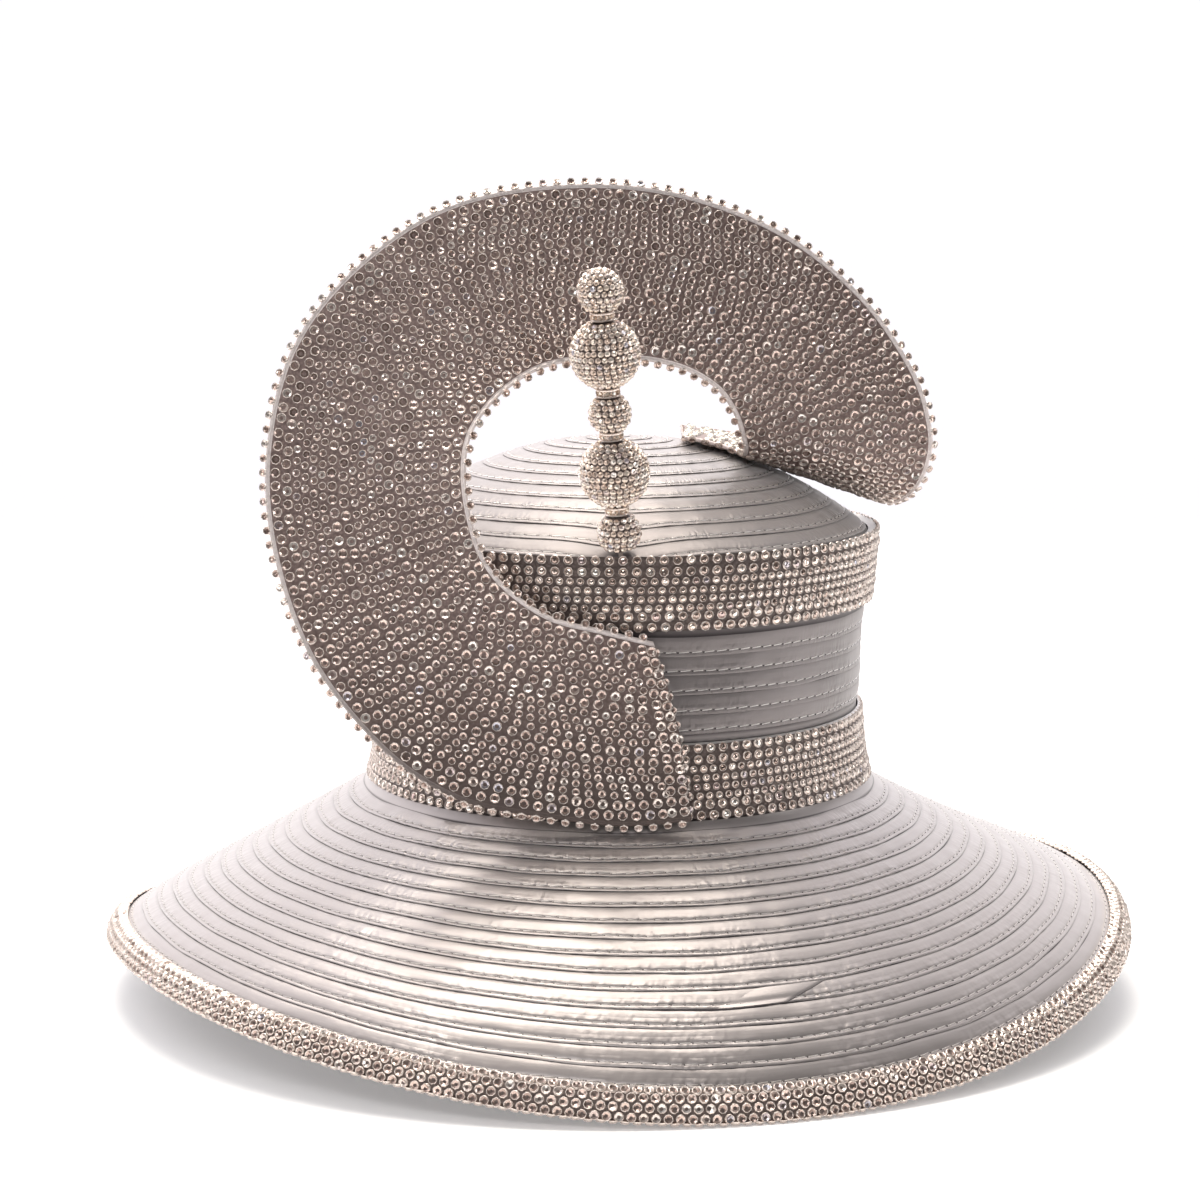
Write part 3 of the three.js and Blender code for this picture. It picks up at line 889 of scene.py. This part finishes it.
def frames_on(line, place, length, rise, angle):
    """Places on a turned surface, with the direction that faces outward there."""
    spot = place(*line.at(length, rise), angle)
    along = place(*line.at(length, rise), angle + 1e-3) - spot
    down = place(*line.at(length + 0.05, rise), angle) - spot
    return spot, unit(np.cross(down, along))


def make_band(name, face, back, seed):
    line = Outline(face, 200)
    angle = CROWN_ANGLES
    front = [on_head(*line.at(share * line.length, -TAPE_DEPTH), angle) for share in TAPE_SHARES]
    behind = [on_head(*crown_line.at(length, BAND_CLEARANCE), angle)
              for length in np.linspace(back[1], back[0], 5)]
    rings = np.array(front + behind)
    faces = grid_faces(len(rings), len(angle), round_rows=True)
    is_top = faces[:, 0] >= (len(rings) - 1) * len(angle)
    tape = new_piece(f"{name}_tape", rings, [faces], [TAPE, PIPING], face_finish=is_top,
                     sharp=SHARP_TAPE)
    belongs(tape, "stones", name)
    batches = []
    for row, (share, kind) in enumerate(BAND_ROWS):
        radius = line.at(share * line.length)[0]
        count = round(2 * pi * radius * MEAN_OVAL / kind["pitch"])
        turn = 2 * pi * np.arange(count) / count + ROW_TURN * seed
        place, outward = frames_on(line, on_head, share * line.length, -TAPE_DEPTH, turn)
        batches.append(set_stones(place, outward, kind["radius"], 8, seed + row,
                                  rings=BAND_STONE_RINGS))
    stones_piece(f"{name}_stones", batches, finishes=[CUP, BAND_STONE])


for name, band in BANDS.items():
    make_band(name, **band)

# %% [markdown]
# ## The trim of the brim's edge
# The same kind of strip, with even stones, is folded round the brim's edge. Its section is
# drawn once, and the stones sit on its outer side in six close rows, each shifted by half a
# stone against its neighbour.

# %% Edge trim
TRIM_FACE = [(182.2, 7.9), (185.4, 6.6), (188, 3.2), (189.3, -1), (187.6, -2.6), (183.8, -1.6)]
TRIM_BACK = [(182.6, 0.2), (185.2, -0.4), (185.6, 3.8), (182.6, 6.0)]
TRIM_STONE = {"radius": 1.72, "pitch": 3.95, "row_pitch": 3.35}
TRIM_TAPE_DEPTH = 1.2
TRIM_ANGLES = round_angles(360)


def make_trim():
    line = Outline(TRIM_FACE, 300)
    face = [hung(*line.at(share * line.length, -TRIM_TAPE_DEPTH), TRIM_ANGLES)
            for share in np.linspace(0.02, 0.98, 9)]
    back = [hung(radius, height, TRIM_ANGLES) for radius, height in TRIM_BACK]
    rings = np.array(face + back)
    faces = [grid_faces(len(rings), len(TRIM_ANGLES), round_rows=True)]
    tape = new_piece("brim_trim_tape", rings, faces, [TAPE], sharp=SHARP_TAPE)
    belongs(tape, "stones", "brim_trim")
    rows = int(line.length // TRIM_STONE["row_pitch"]) + 1
    count = round(2 * pi * RIM_RADIUS / TRIM_STONE["pitch"])
    margin = (line.length - (rows - 1) * TRIM_STONE["row_pitch"]) / 2
    batches = []
    for row in range(rows):
        turn = 2 * pi * (np.arange(count) + 0.5 * (row % 2)) / count
        length = margin + row * TRIM_STONE["row_pitch"]
        place, outward = frames_on(line, hung, length, -TRIM_TAPE_DEPTH, turn)
        sides = 8 if row < rows - 1 else 6  # the last row hides under the edge
        batches.append(set_stones(place, outward, TRIM_STONE["radius"], sides, 160 + row,
                                  rings=PLAIN_STONE_RINGS))
    print("trim rows:", rows, "stones a row:", count)
    stones_piece("brim_trim_stones", batches)


make_trim()

# %% [markdown]
# ## The swirl
# The large ornament is a wide stiff ribbon that curls in a C: it starts on the front of the
# crown, sweeps up the left, over the top and down the right, and its tail turns over onto
# the dome. Two curves hold its edges, and every other measure lies between them. Stones are
# counted out by true length along the middle of the ribbon, so they stay even while the
# ribbon turns.

# %% The swirl's two edges
SWIRL_SECTIONS = [
    # inner edge, outer edge
    ((10.5, -101, 128), (24, -100.5, 64)), ((-7, -102, 132.5), (0, -101.5, 62.5)),
    ((-24, -101.5, 137), (-26, -101, 65.5)), ((-38, -100, 146.5), (-55.5, -100, 71.5)),
    ((-46, -97.5, 157), (-81, -97.5, 88)), ((-50, -93, 170), (-105.5, -93, 118)),
    ((-51.5, -87.5, 183), (-119, -86.5, 154)), ((-50, -82, 194), (-122, -79, 188)),
    ((-44.5, -76, 203), (-114, -70, 223)), ((-36, -70, 210.5), (-93, -61, 251)),
    ((-25, -64, 216), (-62, -52, 272)), ((-10.5, -57, 218), (-24.5, -43, 280)),
    ((5.5, -50, 217.5), (17, -35, 278)), ((21, -42.5, 214), (56.5, -28, 264)),
    ((33, -36, 207), (86.5, -22, 241)), ((39.5, -30.5, 198), (106.5, -17, 213.5)),
    ((42.5, -27, 189.5), (114, -13, 191.5)), ((43.5, -24.5, 185.5), (113.5, -9, 177.5)),
    ((43, -20.5, 183.3), (108.5, -1, 166.5)), ((40.5, -17.5, 184), (100.5, 14, 161.5)),
    ((36, -16.5, 185.6), (87, 31, 168.5)), ((29.5, -17.5, 187.2), (60, 45, 180)),
    ((23.5, -19, 188.4), (24.5, 47, 187.2)),
]


class Ribbon:
    """A ribbon between two edge curves, measured along its middle line."""

    def __init__(self, sections, samples=1200):
        shares = np.linspace(0, 1, samples)
        self.inner = spline([inner for inner, _ in sections], shares, mirrored_ends=True)
        self.outer = spline([outer for _, outer in sections], shares, mirrored_ends=True)
        self.stations = run_length((self.inner + self.outer) / 2)
        self.length = self.stations[-1]
        self.inner_run = np.gradient(self.inner, self.stations, axis=0)
        self.outer_run = np.gradient(self.outer, self.stations, axis=0)

    def lookup(self, table, length):
        return np.stack([np.interp(length, self.stations, column) for column in table.T], -1)

    def width(self, length):
        return np.linalg.norm(self.lookup(self.outer - self.inner, length), axis=-1)

    def along(self, length, share):
        """The direction along the ribbon at a length and a share across."""
        share = np.asarray(share, float)[..., None]
        return unit(self.lookup(self.inner_run, length) * (1 - share)
                    + self.lookup(self.outer_run, length) * share)

    def at(self, length, share, rise=0.0):
        """A point at a length along and a share across from the inner edge, and its normal."""
        length, share, rise = np.broadcast_arrays(length, share, rise)
        inner = self.lookup(self.inner, length)
        across = self.lookup(self.outer, length) - inner
        run = self.along(length, share)
        normal = unit(np.cross(run, across))
        beyond = np.where(length > self.length, length - self.length, np.minimum(length, 0.0))
        point = inner + across * share[..., None] + run * beyond[..., None]
        return point + normal * rise[..., None], normal


swirl = Ribbon(SWIRL_SECTIONS)
print("swirl:", round(swirl.length), "mm along its middle,",
      np.round(swirl.width(np.linspace(0, swirl.length, 5)), 1), "mm wide")

# %% [markdown]
# The ribbon's body is a thin sheet with a rounded edge, painted pale as a painted highlight,
# which shows as a narrow strip between the last row of stones and the stones set in the
# edge itself. One section round the body, repeated along the ribbon, gives a single closed
# mesh.

# %% The swirl's body
EDGE_INSET = 1.75
EDGE_BEAD, EDGE_FOOT = 0.75, 1.05
SHEET_HALF = 0.55
SHARES_BETWEEN = (0.25, 0.5, 0.75)
SWIRL_STEPS = 260
END_BOW, END_BOW_FADE = 2.6, 12


def end_bow(share):
    """The front end of the ribbon is cut in a slight bow."""
    return -END_BOW * np.sin(pi * np.clip(share, 0, 1)) ** 0.8


def edge_section():
    """The upper half of the body's section at an edge: distance in from the edge, and rise."""
    bead = [(EDGE_INSET + EDGE_BEAD * cos(a), EDGE_BEAD * sin(a))
            for a in np.linspace(pi, pi / 5, 5)]
    return bead + [(EDGE_INSET + EDGE_FOOT, SHEET_HALF)]


def make_swirl_body():
    stations = np.linspace(0, swirl.length, SWIRL_STEPS)
    edge = edge_section()
    width = swirl.width(stations)
    half = [(inset / width, rise) for inset, rise in edge]
    half += [(share + 0 * width, SHEET_HALF) for share in SHARES_BETWEEN]
    half += [(1 - inset / width, rise) for inset, rise in reversed(edge)]
    section = half + [(share, -rise) for share, rise in reversed(half[1:-1])]
    half_is_edge = [True] * len(edge) + [False] * len(SHARES_BETWEEN) + [True] * len(edge)
    is_edge = np.array(half_is_edge + half_is_edge[-2:0:-1])
    fade = np.clip(1 - stations / END_BOW_FADE, 0, 1)
    rings = np.array([swirl.at(stations + end_bow(share) * fade, share, rise)[0]
                      for share, rise in section])
    count, steps = rings.shape[:2]
    faces = grid_faces(count, steps, round_rows=True, round_columns=False)
    start_cap = (np.arange(count) * steps)[None, :]
    end_cap = start_cap[:, ::-1] + steps - 1
    face_row = faces[:, 0] // steps
    on_edge = is_edge[face_row] & is_edge[(face_row + 1) % count]
    body = new_piece("swirl_ribbon", rings, [faces, start_cap, end_cap], [RIBBON, RIBBON_EDGE_HIGHLIGHT],
                     face_finish=np.concatenate([on_edge, [True, True]]), sharp=SHARP_TAPE)
    belongs(body, "stones", "swirl")


make_swirl_body()

# %% [markdown]
# The stones cross the ribbon in the bands' pattern, repeated: large pairs at both edges and
# between groups of four small rows. Each group has one pitch along the ribbon, and its lines
# lean in a slow wave, as the lines of a wide tape do when it is bent round a curve. Both
# ends are closed by columns of large stones. A single row of stones stands in each edge. It
# leans to the front and its stones are further apart, so the outline is a string of beads.

# %% The swirl's stones
SWIRL_LARGE = {"radius": 1.86, "pitch": 4.6, "across": 3.85}
SWIRL_SMALL = {"radius": 1.46, "pitch": 3.9, "across": 2.95}
SWIRL_LEAN, SWIRL_WAVE = 0.45, 27
SCATTER_ALONG, SCATTER_ACROSS = 0.12, 0.0015
STONES_BOW_FADE = 60
FACE_MARGIN = 4.8
END_COLUMNS = 2
EDGE_STONE = {"radius": 1.55, "pitch": 5.0, "inset": 0.4}
EDGE_LEAN = 1.6


def swirl_groups():
    """Groups of rows across the ribbon: the kind of stone, and each row's share across."""
    kinds = [SWIRL_LARGE] * 2 + ([SWIRL_SMALL] * 4 + [SWIRL_LARGE] * 2) * 3
    steps = [(one["across"] + two["across"]) / 2 for one, two in zip(kinds, kinds[1:])]
    shares = np.concatenate([[0], np.cumsum(steps)]) / sum(steps)
    starts = [0] + [row for row in range(1, len(kinds)) if kinds[row] is not kinds[row - 1]]
    ends = starts[1:] + [len(kinds)]
    return [(kinds[start], shares[start:end]) for start, end in zip(starts, ends)]


def face_share(length, row_share):
    """A share across the ribbon that leaves the edge beads free."""
    margin = FACE_MARGIN / swirl.width(length)
    return margin + row_share * (1 - 2 * margin)


def evenly_along(share, pitch, end_room):
    """Stations whose points at one share across the ribbon are a pitch apart."""
    run = run_length(swirl.at(swirl.stations, share)[0])
    count = round((run[-1] - 2 * end_room) / pitch)
    spots = end_room + (np.arange(count) + 0.5) * (run[-1] - 2 * end_room) / count
    return np.interp(spots, run, swirl.stations)


def make_swirl_stones(name, side, sides, rings, seed, cup=CUP):
    batches = []
    draw = np.random.default_rng(seed)
    end_room = END_COLUMNS * SWIRL_LARGE["across"]
    for kind, shares in swirl_groups():
        middle = face_share(swirl.stations, shares.mean())
        stations = evenly_along(middle, kind["pitch"], end_room)
        lean = SWIRL_LEAN * np.sin(stations / SWIRL_WAVE + draw.uniform(0, 2 * pi))
        for row_share in shares:
            aside = (row_share - shares.mean()) * swirl.width(stations)
            spots = stations + lean * aside + draw.normal(0, SCATTER_ALONG, len(stations))
            share = face_share(spots, row_share) + draw.normal(0, SCATTER_ACROSS, len(spots))
            spots = spots + end_bow(share) * np.clip(1 - spots / STONES_BOW_FADE, 0, 1)
            place, normal = swirl.at(spots, share, side * SHEET_HALF)
            batches.append(set_stones(place, side * normal, kind["radius"], sides,
                                      seed + len(batches), rings=rings))
    for column in range(END_COLUMNS):
        step = (column + 0.5) * SWIRL_LARGE["across"]
        for station in (step, swirl.length - step):
            count = round((swirl.width(station) - 2 * FACE_MARGIN) / SWIRL_LARGE["across"]) + 1
            share = face_share(station, np.linspace(0, 1, count))
            bow = end_bow(share) if station == step else 0
            place, normal = swirl.at(station + bow, share, side * SHEET_HALF)
            batches.append(set_stones(place, side * normal, SWIRL_LARGE["radius"], sides,
                                      seed + len(batches), rings=rings))
    stones_piece(name, batches, finishes=[cup, STONE])


def make_swirl_edge_stones():
    """One row of stones stands out of the ribbon's rim: both long edges and both ends."""
    batches = []

    def stand(length, share, out):
        place, normal = swirl.at(length, share)
        outward = unit(unit(out) + EDGE_LEAN * normal)
        place = place - unit(out) * EDGE_STONE["inset"]
        batches.append(set_stones(place, outward, EDGE_STONE["radius"], 8, 370 + len(batches)))

    for share in (0.0, 1.0):
        length = evenly_along(share, EDGE_STONE["pitch"], EDGE_STONE["inset"])
        sideways = np.cross(swirl.at(length, share)[1], swirl.along(length, share))
        stand(length, share, sideways * (1 if share else -1))
    for end, sign in ((0.0, -1), (swirl.length, 1)):
        count = round(swirl.width(end) / EDGE_STONE["pitch"]) - 1
        share = (np.arange(count) + 1) / (count + 1)
        length = end + (end_bow(share) if end == 0 else 0 * share)
        stand(length, share, sign * swirl.along(end + 0 * share, share))
    stones_piece("swirl_edge_stones", batches)


make_swirl_stones("swirl_front_stones", 1, 8, STONE_RINGS, seed=200)
# The back's cups take the darker copy of the cup finish, as painted shade.
make_swirl_stones("swirl_back_stones", -1, 6, PLAIN_STONE_RINGS, seed=260, cup=SHADED_BACK_CUP)
make_swirl_edge_stones()

# %% [markdown]
# ## The hat pin
# Five balls covered with tiny stones are threaded on a wire with flat rondelles between
# them. A ball's stones lie in rings, each ring with as many stones as fit, and the poles
# under the rondelles stay free. A rondelle is two thin metal rims with square stones between.

# %% The pin's line
PIN_TOP = np.array([-7, -108.5, 246.2])
PIN_BALLS = [7.9, 12, 7.3, 12, 7.6]
PIN_FLAT = 4.6
FIRST_BALL_HEIGHT = 14.7
GAP = 0.3
RONDELLE = {"radius": 4.2, "thickness": 3.0, "bore": 1.25, "stones": 9, "stone_radius": 1.15}
RIM_DEPTH, RIM_TURNS = 1.0, 28
SHARP_RIM = 35
pin_axis = unit(PIN_TOP - PIN_FOOT)
pin_side = unit(np.cross(pin_axis, [0.0, 1.0, 0.0]))
pin_other = np.cross(pin_axis, pin_side)
print("the pin leans", round(np.degrees(np.arccos(pin_axis[2])), 1), "degrees from upright")


def on_pin(distance, radius=0.0, angle=0.0):
    """A point at a distance up the pin, a radius off it, and an angle round it."""
    distance, radius, angle = np.broadcast_arrays(distance, radius, angle)
    return (PIN_FOOT + distance[..., None] * pin_axis
            + (radius * np.cos(angle))[..., None] * pin_side
            + (radius * np.sin(angle))[..., None] * pin_other)


# %% Balls and rondelles
BALL_STONE = {"radius": 1.12, "pitch": 2.25, "row_pitch": 2.05, "clear": 4.4}
BALL_CORE_INSET = 0.8
BALL_SCATTER = 0.06
CORE_TURNS, CORE_STEPS, CORE_POLE = 32, 16, 0.12


def make_ball(number, radius, distance):
    core = radius - BALL_CORE_INSET
    turn = round_angles(CORE_TURNS)
    tilts = np.linspace(CORE_POLE, pi - CORE_POLE, CORE_STEPS)
    rings = np.array([on_pin(distance + core * cos(tilt), core * sin(tilt), turn)
                      for tilt in tilts])
    faces = grid_faces(len(tilts), len(turn))
    caps = [np.arange(len(turn))[None, :], (faces.max() - np.arange(len(turn)))[None, :]]
    ball = new_piece(f"pin_ball_{number}_core", rings, [faces, *caps], [TAPE])
    belongs(ball, "pin_stones", f"pin_ball_{number}")
    draw = np.random.default_rng(390 + number)
    count_rings = round(pi * core / BALL_STONE["row_pitch"])
    places = []
    for ring in range(count_rings):
        tilt = pi * (ring + 0.5) / count_rings
        free_pole = number == 1 and tilt < 1
        if core * sin(tilt) < BALL_STONE["clear"] and not free_pole:
            continue
        count = max(3, round(2 * pi * core * sin(tilt) / BALL_STONE["pitch"]))
        angle = 2 * pi * (np.arange(count) + draw.uniform()) / count
        places.append(on_pin(distance + core * cos(tilt), core * sin(tilt), angle))
    spot = np.concatenate(places)
    spot = spot + draw.normal(0, BALL_SCATTER, spot.shape)
    batch = set_stones(spot, unit(spot - on_pin(distance)), BALL_STONE["radius"], 7,
                       400 + number, rings=BEAD_RINGS, tip=0.16, cup_bands=1)
    stones_piece(f"pin_ball_{number}_stones", [batch], slot="pin_stones",
                 finishes=[CUP, PIN_STONE])


def make_rondelle(number, distance):
    turn = round_angles(RIM_TURNS)
    radius = RONDELLE["radius"]
    half = RONDELLE["thickness"] / 2
    upper = [(RONDELLE["bore"], half), (radius - 0.25, half), (radius, half - 0.3),
             (radius - 0.1, half - 0.65), (radius - RIM_DEPTH, half - 0.75)]
    profile = upper + [(reach, -height) for reach, height in reversed(upper)]
    rings = np.array([on_pin(distance + height, reach, turn) for reach, height in profile])
    faces = [grid_faces(len(profile), len(turn), round_rows=True)]
    rims = new_piece(f"pin_rondelle_{number}_rims", rings, faces, [CUP], sharp=SHARP_RIM)
    belongs(rims, "pin_metal", f"pin_rondelle_{number}")
    angle = 2 * pi * np.arange(RONDELLE["stones"]) / RONDELLE["stones"]
    spot = on_pin(distance, radius - RIM_DEPTH, angle)
    batch = set_stones(spot, unit(spot - on_pin(distance)), RONDELLE["stone_radius"], 4,
                       430 + number, rings=SMALL_STONE_RINGS, tip=0.03, cup_bands=0)
    stones_piece(f"pin_rondelle_{number}_stones", [batch], slot="pin_metal",
                 finishes=[CUP, PIN_STONE])


def ball_half(radius):
    return (radius * radius - PIN_FLAT * PIN_FLAT) ** 0.5


def thread_pin():
    reached = FIRST_BALL_HEIGHT
    for number in range(len(PIN_BALLS), 0, -1):
        radius = PIN_BALLS[number - 1]
        make_ball(number, radius, reached)
        if number > 1:
            reached += ball_half(radius) + GAP + RONDELLE["thickness"] / 2
            make_rondelle(number - 1, reached)
            reached += RONDELLE["thickness"] / 2 + GAP + ball_half(PIN_BALLS[number - 2])


thread_pin()
wire_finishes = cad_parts["pin_wire"].data.materials
wire_finishes.clear()
wire_finishes.append(CUP)

# %% [markdown]
# ## The studio
# A wide pale floor, a bright surround and one large soft box overhead, a little behind the
# hat, with a weak strip in front and another on the right. The front gets less light than
# the top, so the rows' edges, the gaps between the stones and the crown's wall keep their
# depth. The sky is brighter behind than in front. The camera itself sees plain white there,
# and the floor is pale enough to meet it.

# %% Floor, sky and lamps
FLOOR_FRONT, FLOOR_BACK, FLOOR_SIDE = -0.45, 1.5, 1.3
FLOOR_GLOW = 0.22


def make_floor():
    corners = np.array([(x, y, 0) for y in (FLOOR_FRONT, FLOOR_BACK)
                        for x in (-FLOOR_SIDE, FLOOR_SIDE)]) / MM
    corners[:, 2] -= LIFT
    finish = Finish("floor", Base_Color=(0.93, 0.93, 0.935, 1), Emission_Color=(1, 1, 1, 1),
                    Emission_Strength=FLOOR_GLOW)
    soft = finish.noise(finish.place(), 3.0)
    finish.shade("Roughness", 0.85 + soft * 0.1)
    floor = new_piece("floor", corners, [np.array([[0, 1, 3, 2]])], [finish.material])


SKY_BRIGHT_SIDE = (-0.33, 0.86, 0.39)
SKY_RAMP = {"From Min": -0.1, "From Max": 0.95, "To Min": 0.05, "To Max": 1.9}
SKY_COLOUR = (0.995, 0.973, 1.012)
SKY_SEEN = 1.03


def make_sky():
    """A sky that is dim in front of the hat and bright behind and above it."""
    world = bpy.data.worlds.new("studio")
    bpy.context.scene.world = world
    world.use_nodes = True
    sky = Graph(world.node_tree)
    direction = sky.node("ShaderNodeTexCoord", output="Generated")
    toward = sky.node("ShaderNodeVectorMath", {"operation": "DOT_PRODUCT"}, {
        0: direction, 1: SKY_BRIGHT_SIDE}, output="Value")
    light = sky.node("ShaderNodeMapRange", {"interpolation_type": "SMOOTHSTEP"}, {
        "Value": toward, **SKY_RAMP}, output="Result")
    seen = sky.node("ShaderNodeLightPath", output="Is Camera Ray")
    strength = sky.node("ShaderNodeMix", sockets={
        "Factor": seen, "A": light, "B": SKY_SEEN}, output="Result")
    background = sky.tree.nodes["Background"]
    sky.feed(background.inputs["Color"], SKY_COLOUR)
    sky.feed(background.inputs["Strength"], strength)


LAMPS = [
    # name, place, aim, size, watts, colour
    ("overhead", (-0.1, 0.27, 1.45), (0, 0, 0.1), (1.0, 1.0), 22, (1.0, 0.952, 0.845)),
    ("front_box", (-0.2, -1.35, 1.05), (0, 0, 0.15), (1.4, 0.4), 6.8, (1, 1, 1)),
    ("right_side", (1.5, -0.1, 0.35), (0, 0, 0.05), (0.3, 0.9), 2.6, (1, 1, 1)),
]


def add_lamp(name, place, aim, size, watts, colour):
    lamp = bpy.data.lights.new(name, "AREA")
    lamp.shape = "RECTANGLE"
    lamp.size, lamp.size_y = size
    lamp.energy = watts
    lamp.color = colour
    holder = bpy.data.objects.new(name, lamp)
    holder.location = place
    away = np.array(place) - np.array(aim)
    holder.rotation_euler = (atan2(np.hypot(away[0], away[1]), away[2]), 0,
                             atan2(away[0], -away[1]))
    bpy.context.scene.collection.objects.link(holder)


make_floor()
make_sky()
for lamp in LAMPS:
    add_lamp(*lamp)

# %% [markdown]
# ## The camera
# A long lens about 1.2 metres away, a little above the hat and tilted down by 8 degrees.

# %% Camera
CAMERA_PITCH = 8.044
CAMERA_AIM = (-6.96, 0.0, 126.85)
CAMERA_DISTANCE = 1170.0
CAMERA_LENS, CAMERA_SENSOR = 95.23, 36


def make_camera():
    pitch = radians(CAMERA_PITCH)
    camera = bpy.data.objects.new("camera", bpy.data.cameras.new("camera"))
    camera.data.sensor_width = CAMERA_SENSOR
    camera.data.lens = CAMERA_LENS
    x, y, z = CAMERA_AIM
    back, up = CAMERA_DISTANCE * cos(pitch), CAMERA_DISTANCE * sin(pitch)
    place = np.array([x, y - back, z + LIFT + up])
    camera.location = place * MM
    camera.rotation_euler = (pi / 2 - pitch, 0, 0)
    bpy.context.scene.collection.objects.link(camera)
    bpy.context.scene.camera = camera
    bpy.context.scene.view_settings.view_transform = "Standard"
    print("camera at", np.round(place).tolist(), "mm")


make_camera()
